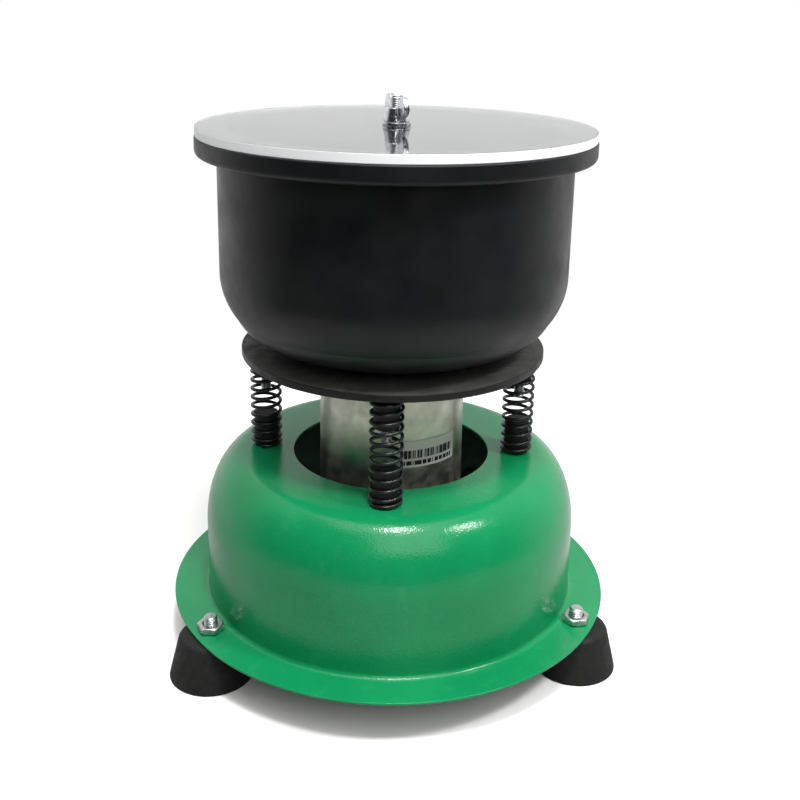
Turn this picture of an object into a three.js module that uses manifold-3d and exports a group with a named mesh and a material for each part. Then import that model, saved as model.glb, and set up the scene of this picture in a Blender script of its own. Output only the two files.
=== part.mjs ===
// Vibratory rock tumbler. A bowl and its motor hang together on a steel plate, which stands on four
// coil springs over a pressed steel base on three rubber feet. Eccentric weights on both ends of the
// motor shaft shake the plate. Millimetres, +Z up, standing on z = 0.
import * as THREE from "three";
import { mergeVertices } from "three/addons/utils/BufferGeometryUtils.js";
import Module from "manifold-3d";

// ---- Driving dimensions -------------------------------------------------------------------------
const gap = 0.3; // clearance wherever two pieces meet

// Feet
const footHeight = 26.7; // floor to the underside of the flange
const footBottomR = 24.8;
const footTopR = 18.2;
const footCorner = 3; // rounding of the top edge
const footEdge = 1; // bevel of the bottom edge
const footFromWall = 10.6; // the foot's bolt out from the base's wall
const footClocking = 96; // degrees, the back foot; the others follow at 120 degree steps
const footRecessWall = 6; // rubber round the recess, at the foot's top
const footRecessDepth = 9;
const footBoltR = 4; // M8
const footBoltHeadHeight = 5.3;
const footNutAcross = 3.5 * footBoltR; // across flats
const footNutHeight = 4;
const footBoltProud = 4.7; // of the bolt's end above its nut

// Base
const baseSheet = 1.5;
const baseHeight = 86.4; // flange top to the flat top
const flangeWidth = 21.2;
const shoulderRun = 24; // half axes of the rounded shoulder
const shoulderDrop = 42;
const wallFootR = 3; // fillet where the wall meets the flange
const shakeRoom = 16.3; // round the motor in its hole
const springFromHole = 7.65; // flat left inside and outside each spring's seat
const springFromShoulder = 2.55;

// Suspension
const springR = 9.75; // outside radius
const wireR = 1.05;
const springLength = 64.1;
const springTurns = 12; // one closed turn at each end is counted
const closedTurnSpace = 0.9; // between the wires of a closed turn
const postPlay = 0.45; // between a post and the inside of its spring
const postBevel = 0.8;
const lowerPostLength = 21.2;
const upperPostLength = 18.8;
const lowerScrewR = 2.5; // M5
const lowerScrewHeadHeight = 3.6;
const lowerScrewHeadBevel = 1;
const lowerScrewReach = 12; // into the post
const upperStudR = 3; // M6
const upperStudProud = 10; // below the upper post
const springs = [
  { name: "right", azimuth: 0, start: 68 },
  { name: "back", azimuth: 90, start: 150 },
  { name: "left", azimuth: 180, start: 259 },
  { name: "front", azimuth: 270, start: 209 },
];

// Plate
const plateBeyondSpring = 3.35;
const plateThickness = 4.3;

// Motor
const motorR = 43.8;
const motorWall = 1.6;
const shaftR = 6;
const bearingR = 16;
const bearingWidth = 10;
const bracketThickness = 10;
const weightClearance = 6.2; // inside the tube
const weightHubWall = 6;
const weightThickness = 16;
const weightLag = 90; // degrees, the lower weight behind the upper
const statorLength = 42;
const rotorR = 23.6;
const airGap = 0.8;
const windingSetback = 3.6; // from the stator's bore
const windingClearance = 2.9; // from the stator's rim
const windingHeight = 6;
const motorPlay = 3; // axial room between neighbouring motor pieces
const shaftPastWeight = 1;
const coverThickness = 3;
const leadHoleR = 4;
const labelFrom = -79.6; // degrees
const labelTo = -31.7;
const labelBelowPlate = 42.6;
const labelHeight = 16.5;
const labelThickness = 0.3;

// Bowl
const bowlR = 102.4;
const bowlDepth = 124.8; // plate to the rim's top
const bowlWall = 6;
const bowlFootR = 50; // where the rounded bottom touches the plate
const bowlFootRing = 7; // width of the ring it stands on
const bowlBottomRise = 46; // height of the rounded bottom
const rimOverhang = 12.2;
const rimDepth = 10.5; // of the thick band
const rimCorner = 3.5;
const coneHeight = 78; // centre column above the plate
const coneTopR = 14;
const coneTopBevel = 2;
const troughFlatRise = 1; // of the trough's floor at the column's fillet

// Lid and centre stud
const lidInset = 0.5; // inside the rim's edge
const lidThickness = 5;
const studR = 4; // M8
const studAboveLid = 17;
const nutAcross = 3.25 * studR; // across flats
const nutHeight = 6.5;
const washerThickness = 1.6;
const wingHubWall = 4;
const wingHubTaper = 1.8;
const wingHubHeight = 8;
const wingSpan = 38;
const wingHeight = 14.8;
const wingThickness = 3.2;
const wingRoot = 1; // the wing starts this far inside the hub and above its foot
const wingAzimuth = 109; // degrees

// Cord outlet
const outletAzimuth = 60; // degrees, at the back
const outletAboveFlange = 20;
const outletBoreR = 3.6;
const outletNeckWall = 2.1;
const outletLipWidth = 3;
const outletLip = 2.5;
const outletBevel = 1;

// ---- Radii that follow --------------------------------------------------------------------------
const baseHoleR = motorR + shakeRoom;
const springCircleR = baseHoleR + springFromHole + springR;
const shoulderR = springCircleR + springR + springFromShoulder;
const baseWallR = shoulderR + shoulderRun;
const flangeR = baseWallR + flangeWidth;
const footCircleR = baseWallR + footFromWall;
const footRecessR = footTopR - footRecessWall;
const postR = springR - 2 * wireR - postPlay;
const closedPitch = 2 * wireR + closedTurnSpace;
const lowerScrewHeadR = 2 * lowerScrewR;
const plateR = springCircleR + springR + plateBeyondSpring;
const boreR = motorR - motorWall;
const fitR = boreR - gap;
const weightR = boreR - weightClearance;
const weightHubR = shaftR + weightHubWall;
const windingInnerR = rotorR + airGap + windingSetback;
const windingOuterR = fitR - windingClearance;
const rimR = bowlR + rimOverhang;
const lidR = rimR - lidInset;
const hollowR = bowlFootR - bowlFootRing;
const coneBottomR = hollowR - bowlWall;
const bowlWasherR = 3 * studR;
const wingHubR = studR + wingHubWall;
const wingHubTopR = wingHubR - wingHubTaper;
const wingWasherR = wingHubR + gap;
const outletHoleR = outletBoreR + outletNeckWall + gap;
const outletFlangeR = outletHoleR + outletLipWidth;

// ---- Heights that follow ------------------------------------------------------------------------
const flangeTop = footHeight + baseSheet;
const baseTop = flangeTop + baseHeight;
const baseUnder = baseTop - baseSheet;
const springBottom = baseTop + gap;
const plateBottom = springBottom + springLength + gap;
const plateTop = plateBottom + plateThickness;
const rimTop = plateTop + bowlDepth;
const lidBottom = rimTop + gap;
const lidTop = lidBottom + lidThickness;
const studTop = lidTop + studAboveLid;
const coneTop = plateTop + coneHeight;

// ---- Materials ----------------------------------------------------------------------------------
const finish = (color, roughness, metalness = 0) =>
  new THREE.MeshStandardMaterial({ color, roughness, metalness });
const greenEnamel = finish(0x0fa35f, 0.3);
const blackRubber = finish(0x232323, 0.75);
const blackPlastic = finish(0x1b1d1f, 0.5);
const blackSteel = finish(0x17181a, 0.4, 0.6);
const zincSteel = finish(0xb9bab6, 0.35, 1);
const plainSteel = finish(0x8d8f90, 0.4, 1);
const copper = finish(0xb06a3a, 0.4, 1);
const clearAcrylic = finish(0xdfe4e6, 0.1);
clearAcrylic.transparent = true;
clearAcrylic.opacity = 0.45;
const whitePaper = finish(0xe9e9e4, 0.6);

// ---- Helpers ------------------------------------------------------------------------------------
const wasm = await Module();
wasm.setup();
const radians = (degrees) => (degrees * Math.PI) / 180;

// Points [r, z] along an ellipse arc about (r, z), from one angle to another.
function arc(r, z, halfR, halfZ, from, to, steps) {
  return Array.from({ length: steps + 1 }, (_, i) => {
    const angle = radians(from + ((to - from) * i) / steps);
    return [r + halfR * Math.cos(angle), z + halfZ * Math.sin(angle)];
  });
}

// A closed outline [r, z] turned about the Z axis. It runs with its material on the left.
function turned(outline, sides) {
  const points = [...outline, outline[0]].map(([r, z]) => new THREE.Vector2(r, z));
  return new THREE.LatheGeometry(points, sides).rotateX(Math.PI / 2);
}

const rod = (r, low, high, sides) =>
  turned([[0, low], [r, low], [r, high], [0, high]], sides);
const ring = (inner, outer, low, high, sides) =>
  turned([[inner, low], [outer, low], [outer, high], [inner, high]], sides);

// A flat outline, with a round hole if one is asked for, given its thickness along Z. A full
// circle in it takes twice curveSegments sides.
function plateOf(shape, low, high, holeR, curveSegments) {
  if (holeR) shape.holes.push(new THREE.Path().absarc(0, 0, holeR, 0, 2 * Math.PI, true));
  const options = { depth: high - low, bevelEnabled: false, curveSegments };
  return new THREE.ExtrudeGeometry(shape, options).translate(0, 0, low);
}

function polygon(r, sides) {
  const corners = Array.from({ length: sides }, (_, i) => {
    const angle = (i * 2 * Math.PI) / sides;
    return new THREE.Vector2(r * Math.cos(angle), r * Math.sin(angle));
  });
  return new THREE.Shape(corners);
}

const hexagon = (across, low, high, holeR) =>
  plateOf(polygon(across / 2 / Math.cos(Math.PI / 6), 6), low, high, holeR, 8);

function solidOf(geometry) {
  const bare = geometry.clone();
  bare.deleteAttribute("normal");
  bare.deleteAttribute("uv");
  const merged = mergeVertices(bare, 1e-4);
  const triVerts = new Uint32Array(merged.index.array);
  const vertProperties = merged.attributes.position.array;
  return new wasm.Manifold(new wasm.Mesh({ numProp: 3, vertProperties, triVerts }));
}

function geometryOf(solid) {
  const cut = solid.getMesh();
  const geometry = new THREE.BufferGeometry();
  geometry.setAttribute("position", new THREE.BufferAttribute(cut.vertProperties, 3));
  geometry.setIndex(new THREE.BufferAttribute(cut.triVerts, 1));
  return geometry;
}

const without = (geometry, tools) =>
  geometryOf(tools.reduce((solid, tool) => solid.subtract(solidOf(tool)), solidOf(geometry)));
const joined = (geometry, others) =>
  geometryOf(others.reduce((solid, other) => solid.add(solidOf(other)), solidOf(geometry)));

// The same geometry carried out to a radius and round to an azimuth in degrees.
const placed = (geometry, radius, azimuth) =>
  geometry.translate(radius, 0, 0).rotateZ(radians(azimuth));

// ---- The machine --------------------------------------------------------------------------------
const feet = [
  { name: "back", azimuth: footClocking },
  { name: "left", azimuth: footClocking + 120 },
  { name: "right", azimuth: footClocking + 240 },
];

const tumbler = new THREE.Group();
function add(name, geometry, material) {
  const mesh = new THREE.Mesh(geometry, material);
  mesh.name = name;
  tumbler.add(mesh);
  return mesh;
}

// ---- Base shell: one spun sheet, from the motor hole over the shoulder to the flange ------------
function baseShell() {
  const wallTop = baseTop - shoulderDrop;
  const outside = [
    [flangeR, footHeight],
    [flangeR, flangeTop],
    ...arc(baseWallR + wallFootR, flangeTop + wallFootR, wallFootR, wallFootR, 270, 180, 2),
    ...arc(shoulderR, wallTop, shoulderRun, shoulderDrop, 0, 90, 6),
    [baseHoleR, baseTop],
  ];
  const innerRun = shoulderRun - baseSheet;
  const innerDrop = shoulderDrop - baseSheet;
  const innerFoot = wallFootR + baseSheet;
  const inside = [
    [baseHoleR, baseUnder],
    ...arc(shoulderR, wallTop, innerRun, innerDrop, 90, 0, 6),
    ...arc(baseWallR + wallFootR, flangeTop + wallFootR, innerFoot, innerFoot, 180, 270, 2),
  ];
  const shell = turned([...outside, ...inside], 40);
  const footHoles = feet.map((foot) =>
    placed(rod(footBoltR + gap, 0, baseTop, 12), footCircleR, foot.azimuth)
  );
  const screwHoles = springs.map((spring) =>
    placed(rod(lowerScrewR + gap, flangeTop, baseTop + baseSheet, 12), springCircleR, spring.azimuth)
  );
  const outletHole = rod(outletHoleR, baseWallR / 2, flangeR, 16)
    .rotateY(Math.PI / 2)
    .translate(0, 0, flangeTop + outletAboveFlange)
    .rotateZ(radians(outletAzimuth));
  return without(shell, [...footHoles, ...screwHoles, outletHole]);
}
add("base_shell", baseShell(), greenEnamel);

// ---- Feet: a rubber cone, its bolt from below and the nut on the flange --------------------------
const footTop = footHeight - gap;
const boltHeadTop = footRecessDepth - gap;
const footNutBottom = flangeTop + gap;
const footNutTop = footNutBottom + footNutHeight;
for (const foot of feet) {
  const rubber = turned(
    [
      [footBoltR + gap, footRecessDepth],
      [footRecessR, footRecessDepth],
      [footRecessR, 0],
      [footBottomR - footEdge, 0],
      [footBottomR, footEdge],
      ...arc(footTopR - footCorner, footTop - footCorner, footCorner, footCorner, 15, 90, 3),
      [footBoltR + gap, footTop],
    ],
    20
  );
  const shank = rod(footBoltR, boltHeadTop - footBoltHeadHeight / 2, footNutTop + footBoltProud, 12);
  const head = hexagon(footNutAcross, boltHeadTop - footBoltHeadHeight, boltHeadTop);
  const nut = hexagon(footNutAcross, footNutBottom, footNutTop, footBoltR + gap);
  add("foot_" + foot.name, placed(rubber, footCircleR, foot.azimuth), blackRubber);
  add("foot_bolt_" + foot.name, placed(joined(shank, [head]), footCircleR, foot.azimuth), zincSteel);
  add("foot_nut_" + foot.name, placed(nut, footCircleR, foot.azimuth), zincSteel);
}

// ---- Suspension: a coil spring round a lower and an upper post, four times -----------------------
// A right-hand coil of even pitch between one nearly closed turn at each end.
class Coil extends THREE.Curve {
  constructor(bottom, start) {
    super();
    this.bottom = bottom + wireR;
    this.start = radians(start);
    this.arcLengthDivisions = springTurns * 60;
  }
  getPoint(t, target = new THREE.Vector3()) {
    const turn = t * springTurns;
    const rise = springLength - 2 * wireR;
    const pitch = (rise - 2 * closedPitch) / (springTurns - 2);
    const low = Math.min(turn, 1);
    const high = Math.max(turn - (springTurns - 1), 0);
    const z = this.bottom + (low + high) * closedPitch + (turn - low - high) * pitch;
    const angle = this.start + turn * 2 * Math.PI;
    const r = springR - wireR;
    return target.set(r * Math.cos(angle), r * Math.sin(angle), z);
  }
}

for (const { name, azimuth, start } of springs) {
  const options = {
    extrudePath: new Coil(springBottom, start - azimuth),
    steps: springTurns * 10,
    bevelEnabled: false,
  };
  const coil = new THREE.ExtrudeGeometry(polygon(wireR, 5), options);
  add("spring_" + name, placed(coil, springCircleR, azimuth), blackSteel);

  const postTop = springBottom + lowerPostLength;
  const tapR = lowerScrewR + gap;
  const tapDepth = lowerScrewReach + gap;
  const lowerPost = turned(
    [
      [tapR, springBottom],
      [postR, springBottom],
      [postR, postTop - postBevel],
      [postR - postBevel, postTop],
      [0, postTop],
      [0, springBottom + tapDepth],
      [tapR, springBottom + tapDepth],
    ],
    14
  );
  add("lower_post_" + name, placed(lowerPost, springCircleR, azimuth), blackRubber);

  const headTop = baseUnder - gap;
  const lowerScrew = turned(
    [
      [0, headTop - lowerScrewHeadHeight],
      [lowerScrewHeadR - lowerScrewHeadBevel, headTop - lowerScrewHeadHeight],
      [lowerScrewHeadR, headTop - lowerScrewHeadHeight + lowerScrewHeadBevel],
      [lowerScrewHeadR, headTop],
      [lowerScrewR, headTop],
      [lowerScrewR, springBottom + lowerScrewReach],
      [0, springBottom + lowerScrewReach],
    ],
    12
  );
  add("lower_screw_" + name, placed(lowerScrew, springCircleR, azimuth), zincSteel);

  const upperPostTop = plateBottom - gap;
  const upperPost = ring(upperStudR + gap, postR, upperPostTop - upperPostLength, upperPostTop, 14);
  add("upper_post_" + name, placed(upperPost, springCircleR, azimuth), blackRubber);

  const studLow = upperPostTop - upperPostLength - upperStudProud;
  const upperStud = rod(upperStudR, studLow, plateTop - gap, 12);
  add("upper_stud_" + name, placed(upperStud, springCircleR, azimuth), zincSteel);
}

// ---- Vibration plate ----------------------------------------------------------------------------
function vibrationPlate() {
  const disc = ring(studR + gap, plateR, plateBottom, plateTop, 48);
  const holes = springs.map((spring) =>
    placed(rod(upperStudR + gap, plateBottom - gap, plateTop + gap, 12), springCircleR, spring.azimuth)
  );
  return without(disc, holes);
}
add("vibration_plate", vibrationPlate(), blackSteel);

// ---- Motor: a tube under the plate that holds the stator, with the weights at both ends ----------
const tubeTop = plateBottom - gap;
const shaftTop = plateBottom - motorPlay;
const upperWeightTop = shaftTop - shaftPastWeight;
const upperWeightLow = upperWeightTop - weightThickness;
const upperBracketTop = upperWeightLow - motorPlay;
const upperBracketLow = upperBracketTop - bracketThickness;
const statorTop = upperBracketLow - motorPlay - windingHeight;
const statorLow = statorTop - statorLength;
const lowerBracketTop = statorLow - windingHeight - motorPlay;
const lowerBracketLow = lowerBracketTop - bracketThickness;
const lowerWeightTop = lowerBracketLow - motorPlay;
const lowerWeightLow = lowerWeightTop - weightThickness;
const shaftLow = lowerWeightLow - shaftPastWeight;
const coverTop = shaftLow - motorPlay;
const tubeLow = coverTop - coverThickness;

add("motor_tube", ring(boreR, motorR, tubeLow, tubeTop, 40), zincSteel);
for (const [name, low, high] of [
  ["upper", upperBracketLow, upperBracketTop],
  ["lower", lowerBracketLow, lowerBracketTop],
]) {
  add("motor_bracket_" + name, ring(bearingR + gap, fitR, low, high, 24), plainSteel);
  const middle = (low + high) / 2;
  const bearing = ring(shaftR + gap, bearingR, middle - bearingWidth / 2, middle + bearingWidth / 2, 20);
  add("bearing_" + name, bearing, plainSteel);
}
add("stator", ring(rotorR + airGap, fitR, statorLow, statorTop, 24), plainSteel);
for (const [name, low] of [
  ["upper", statorTop + gap],
  ["lower", statorLow - windingHeight],
]) {
  const winding = ring(windingInnerR, windingOuterR, low, low + windingHeight - gap, 20);
  add("winding_" + name, winding, copper);
}
add("rotor_core", ring(shaftR + gap, rotorR, statorLow, statorTop, 20), plainSteel);
add("rotor_shaft", rod(shaftR, shaftLow, shaftTop, 16), plainSteel);

// A half disc with a hub, bored for the shaft.
function eccentricWeight(low, high) {
  const outline = new THREE.Shape()
    .absarc(0, 0, weightR, 0, Math.PI)
    .absarc(0, 0, weightHubR, Math.PI, 2 * Math.PI);
  return plateOf(outline, low, high, shaftR + gap, 8);
}
add("eccentric_upper", eccentricWeight(upperWeightLow, upperWeightTop), plainSteel);
const lowerWeight = eccentricWeight(lowerWeightLow, lowerWeightTop);
add("eccentric_lower", lowerWeight.rotateZ(radians(-weightLag)), plainSteel);

const cover = without(rod(fitR, tubeLow, coverTop, 24), [
  placed(rod(leadHoleR, tubeLow - gap, coverTop + gap, 12), boreR / 2, outletAzimuth),
]);
add("motor_cover", cover, plainSteel);

// ---- Motor label: a blank curved tag on the tube -------------------------------------------------
function motorLabel() {
  const inner = motorR + gap;
  const outer = inner + labelThickness;
  const outline = new THREE.Shape()
    .absarc(0, 0, outer, radians(labelFrom), radians(labelTo))
    .absarc(0, 0, inner, radians(labelTo), radians(labelFrom), true);
  const high = plateBottom - labelBelowPlate;
  return plateOf(outline, high - labelHeight, high, 0, 8);
}
add("motor_label", motorLabel(), whitePaper);

// ---- Bowl: a rounded trough round a hollow centre column, with a thick rim -----------------------
function bowl() {
  const foot = plateTop + gap;
  const run = bowlR - bowlFootR;
  const bandLow = rimTop - rimDepth;
  const innerR = bowlR - bowlWall;
  const trough = foot + bowlWall;
  const outside = [
    [bowlFootR, foot],
    ...arc(bowlFootR, foot + bowlBottomRise, run, bowlBottomRise, -75, 0, 5),
    [bowlR, bandLow],
    [rimR - rimCorner, bandLow],
    ...arc(rimR - rimCorner, bandLow + rimCorner, rimCorner, rimCorner, -60, 0, 2),
    [rimR, rimTop],
  ];
  const inside = [
    [innerR, rimTop],
    ...arc(innerR - run / 2, trough + run / 2, run / 2, run / 2, 0, -90, 5),
    [coneBottomR + bowlWall, trough + troughFlatRise],
    [coneBottomR, trough + bowlWall],
    [coneTopR, coneTop - coneTopBevel],
    [coneTopR - coneTopBevel, coneTop],
    [studR + gap, coneTop],
  ];
  const underside = [
    [studR + gap, coneTop - bowlWall],
    [coneTopR - bowlWall, coneTop - bowlWall],
    [coneBottomR - bowlWall, trough + bowlWall],
    [hollowR, foot],
  ];
  return turned([...outside, ...inside, ...underside], 40);
}
add("bowl", bowl(), blackPlastic);

// ---- Centre stud, with a jam nut on the plate and a washer and nut on the bowl's column ----------
add("centre_stud", rod(studR, plateBottom, studTop, 16), zincSteel);
const jamNutLow = plateTop + gap;
add("stud_jam_nut", hexagon(nutAcross, jamNutLow, jamNutLow + nutHeight, studR + gap), zincSteel);
const bowlWasherLow = coneTop + gap;
const bowlWasherTop = bowlWasherLow + washerThickness;
const bowlWasher = ring(studR + gap, bowlWasherR, bowlWasherLow, bowlWasherTop, 20);
add("bowl_washer", bowlWasher, zincSteel);
const bowlNutLow = bowlWasherTop + gap;
add("bowl_nut", hexagon(nutAcross, bowlNutLow, bowlNutLow + nutHeight, studR + gap), zincSteel);

// ---- Lid, its washer and wing nut ----------------------------------------------------------------
add("lid", ring(studR + gap, lidR, lidBottom, lidTop, 48), clearAcrylic);
const washerLow = lidTop + gap;
const washerTop = washerLow + washerThickness;
add("wing_washer", ring(studR + gap, wingWasherR, washerLow, washerTop, 20), zincSteel);

function wingNut() {
  const low = washerTop + gap;
  const hubTop = low + wingHubHeight;
  const hub = turned([[0, low], [wingHubR, low], [wingHubTopR, hubTop], [0, hubTop]], 20);
  const reach = wingSpan / 2;
  const top = low + wingHeight;
  // One wing in the XZ plane: it leaves the hub's side and spreads upwards to a round tip.
  const tipR = (reach - wingHubTopR) / 2;
  const outline = new THREE.Shape()
    .moveTo(0, low + wingRoot)
    .lineTo(wingHubR - wingRoot, low + wingRoot)
    .lineTo(reach - tipR / 3, top - 1.6 * tipR)
    .absarc(reach - tipR, top - tipR, tipR, radians(-20), radians(150))
    .lineTo(wingHubTopR - wingRoot, hubTop)
    .lineTo(0, hubTop);
  const options = { depth: wingThickness, bevelEnabled: false, curveSegments: 8 };
  const wing = new THREE.ExtrudeGeometry(outline, options)
    .rotateX(Math.PI / 2)
    .translate(0, wingThickness / 2, 0);
  const other = wing.clone().rotateZ(Math.PI);
  const bore = rod(studR + gap, low - gap, top + gap, 16);
  return without(joined(hub, [wing, other]), [bore]).rotateZ(radians(wingAzimuth));
}
add("wing_nut", wingNut(), zincSteel);

// ---- Cord outlet: a rubber grommet with an empty bore in the back wall ---------------------------
function cordOutlet() {
  const wallOut = baseWallR + gap;
  const wallIn = baseWallR - baseSheet - gap;
  const neckR = outletHoleR - gap;
  const innerLipR = outletFlangeR - outletBevel;
  const outline = [
    [outletBoreR, wallIn - outletLip],
    [innerLipR, wallIn - outletLip],
    [innerLipR, wallIn - gap],
    [neckR, wallIn - gap],
    [neckR, wallOut],
    [outletFlangeR, wallOut],
    [outletFlangeR - outletBevel, wallOut + outletLip],
    [outletBoreR, wallOut + outletLip],
  ];
  return turned(outline, 16)
    .rotateY(Math.PI / 2)
    .translate(0, 0, flangeTop + outletAboveFlange)
    .rotateZ(radians(outletAzimuth));
}
add("cord_outlet", cordOutlet(), blackRubber);

// ---- The frame: the origin is the middle of the footprint's box, on the floor --------------------
const reachX = feet.map((foot) => footCircleR * Math.cos(radians(foot.azimuth)));
const reachY = feet.map((foot) => footCircleR * Math.sin(radians(foot.azimuth)));
const middle = (reaches) => {
  const high = Math.max(flangeR, Math.max(...reaches) + footBottomR);
  const low = Math.min(-flangeR, Math.min(...reaches) - footBottomR);
  return (high + low) / 2;
};
tumbler.position.set(-middle(reachX), -middle(reachY), 0);

const machine = new THREE.Group();
machine.add(tumbler);
export default machine;
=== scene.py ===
# %% [markdown]
# # A vibratory rock tumbler
# The machine is a bowl of black plastic bolted over an electric motor, and both hang on a steel plate
# that stands on four coil springs. The springs stand on a pressed steel base with three rubber feet.
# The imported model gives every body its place, so this lesson only makes the surfaces and finishes.

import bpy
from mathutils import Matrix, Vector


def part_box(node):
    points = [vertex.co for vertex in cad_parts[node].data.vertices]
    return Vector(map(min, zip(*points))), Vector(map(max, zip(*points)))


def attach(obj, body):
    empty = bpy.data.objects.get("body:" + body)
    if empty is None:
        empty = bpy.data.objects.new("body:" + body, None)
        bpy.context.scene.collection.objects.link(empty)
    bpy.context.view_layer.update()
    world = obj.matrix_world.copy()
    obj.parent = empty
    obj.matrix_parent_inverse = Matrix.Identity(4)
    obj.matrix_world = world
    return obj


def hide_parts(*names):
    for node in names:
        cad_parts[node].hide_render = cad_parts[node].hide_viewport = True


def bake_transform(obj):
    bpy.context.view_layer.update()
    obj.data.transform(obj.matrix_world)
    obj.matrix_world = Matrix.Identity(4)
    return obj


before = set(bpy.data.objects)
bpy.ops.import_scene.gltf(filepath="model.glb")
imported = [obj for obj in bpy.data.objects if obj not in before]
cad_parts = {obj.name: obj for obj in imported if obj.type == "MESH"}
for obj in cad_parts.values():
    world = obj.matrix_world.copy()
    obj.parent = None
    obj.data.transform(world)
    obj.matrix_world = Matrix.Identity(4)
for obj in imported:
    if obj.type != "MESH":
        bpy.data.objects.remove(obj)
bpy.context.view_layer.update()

# %% Tools
import math

import bmesh
import bpy
import numpy as np
from mathutils import Matrix, Vector

MM = 0.001
TURN = 2 * math.pi

# %% [markdown]
# ## Where things stand
# The centre stud runs up the middle of the machine, so the middle of its box is the axis. Heights
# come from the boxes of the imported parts. All the shapes below are worked out in millimetres.


# %% Heights and the axis
def middle(node):
    """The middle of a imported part's box, across the floor, in mm."""
    low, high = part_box(node)
    return np.array([low.x + high.x, low.y + high.y]) / 2 / MM


def height(node):
    """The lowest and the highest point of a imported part, in mm."""
    low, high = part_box(node)
    return low.z / MM, high.z / MM


axis = middle("centre_stud")
flange_low, base_top = height("base_shell")
plate_low, plate_top = height("vibration_plate")
bowl_low, rim_top = height("bowl")
lid_low, lid_top = height("lid")
print("axis", axis.round(2), "base top", round(base_top, 1), "rim top", round(rim_top, 1))

# %% [markdown]
# ## Camera
# A camera over a metre away would flatten the ellipses of the lid and the flange. This one stands
# close, 0.62 m from the axis, and looks down 16 degrees, so the ellipses open towards the floor. The
# lens is shifted down to frame the machine, because tilting it further would make the upright sides
# lean together.

# %% Camera
CAMERA_AWAY = 616.0
CAMERA_Z = base_top + 272.35
CAMERA_ROUND = math.radians(1.8)
CAMERA_DOWN = 0.2793
CAMERA_ROLL = 0.018
FOCAL = 1070.68
IMAGE_WIDTH = 800
SENSOR = 36
SHIFT = (0.0081, -0.1265)

camera_data = bpy.data.cameras.new("camera")
camera_data.sensor_width = SENSOR
camera_data.lens = FOCAL / IMAGE_WIDTH * SENSOR
camera_data.shift_x, camera_data.shift_y = SHIFT
camera_data.clip_start = 0.01
camera = bpy.data.objects.new("camera", camera_data)
bpy.context.scene.collection.objects.link(camera)
camera.location = (
    (axis[0] + CAMERA_AWAY * math.sin(CAMERA_ROUND)) * MM,
    (axis[1] - CAMERA_AWAY * math.cos(CAMERA_ROUND)) * MM,
    CAMERA_Z * MM,
)
camera.matrix_world = (
    Matrix.Translation(camera.location)
    @ Matrix.Rotation(CAMERA_ROUND, 4, "Z")
    @ Matrix.Rotation(math.pi / 2 - CAMERA_DOWN, 4, "X")
    @ Matrix.Rotation(CAMERA_ROLL, 4, "Z")
)
bpy.context.scene.camera = camera
print("lens", round(camera_data.lens, 2), "mm")

# %% [markdown]
# ## Colour and nodes
# Colours are written as sRGB hex, as a paint chart gives them, and one function turns them to the
# linear numbers that the shader wants. One small function adds any node with its settings and links.
# A finish is a shader with plain numbers, and is then dressed with patterns of a real size in mm.


# %% Colour and node helpers
def linear(hex_colour):
    """sRGB hex to linear light: ((c + 0.055) / 1.055) to the power 2.4, or c / 12.92 near black."""
    c = np.array([int(hex_colour[i : i + 2], 16) for i in (0, 2, 4)]) / 255
    return (*np.where(c > 0.04045, ((c + 0.055) / 1.055) ** 2.4, c / 12.92), 1.0)


def add(tree, kind, inputs=None, **settings):
    """Adds a shader node, sets its own settings, then sets or links each input by name or number."""
    node = tree.nodes.new("ShaderNode" + kind)
    for key, value in settings.items():
        setattr(node, key, value)
    for key, value in (inputs or {}).items():
        if isinstance(value, bpy.types.NodeSocket):
            tree.links.new(value, node.inputs[key])
        else:
            node.inputs[key].default_value = value
    return node


print("mid grey in linear light:", round(linear("808080")[0], 3))


# %% Finish helpers
def finish(name, colour, roughness, metallic=0.0, **sockets):
    """A material of one shader, with plain numbers on the shader's own sockets."""
    material = bpy.data.materials.new(name)
    material.use_nodes = True
    tree = material.node_tree
    shader = tree.nodes["Principled BSDF"]
    shader.inputs["Base Color"].default_value = linear(colour)
    shader.inputs["Roughness"].default_value = roughness
    shader.inputs["Metallic"].default_value = metallic
    for key, value in sockets.items():
        shader.inputs[key.replace("_", " ")].default_value = value
    print("finish", name)
    return material, tree, shader, add(tree, "TexCoord").outputs["Object"]


def scale_of(size):
    """The texture scale whose features are size mm wide, as Object coordinates are in metres."""
    return 1 / (size * MM)


def mottle(tree, place, size, low=0.0, high=1.0, detail=3.0, seed=0.0):
    """A noise with features size mm wide, stretched to run from low to high. Returns its output."""
    noise = {"Vector": place, "W": seed, "Scale": scale_of(size), "Detail": detail}
    noise = add(tree, "TexNoise", noise, noise_dimensions="4D").outputs[0]
    spread = {"Value": noise, "From Min": 0.35, "From Max": 0.65, "To Min": low, "To Max": high}
    return add(tree, "MapRange", spread).outputs[0]


def dress(tree, shader, tones=(), gloss=None, relief=()):
    """Gives a shader its patterns. The tones are a colour and then each (share, colour) laid over it,
    gloss is an output that drives the roughness, and relief is a chain of (height, its depth in mm)."""
    if tones:
        tint = linear(tones[0])
        for share, over in tones[1:]:
            layer = {0: share, 6: tint, 7: linear(over)}
            tint = add(tree, "Mix", layer, data_type="RGBA").outputs[2]
        tree.links.new(tint, shader.inputs["Base Color"])
    if gloss:
        tree.links.new(gloss, shader.inputs["Roughness"])
    normal = None
    for value, depth in relief:
        inputs = {"Height": value, "Distance": depth * MM}
        if normal:
            inputs["Normal"] = normal
        normal = add(tree, "Bump", inputs).outputs[0]
    if normal:
        tree.links.new(normal, shader.inputs["Normal"])


print("a 2 mm pattern has scale", scale_of(2))

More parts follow.
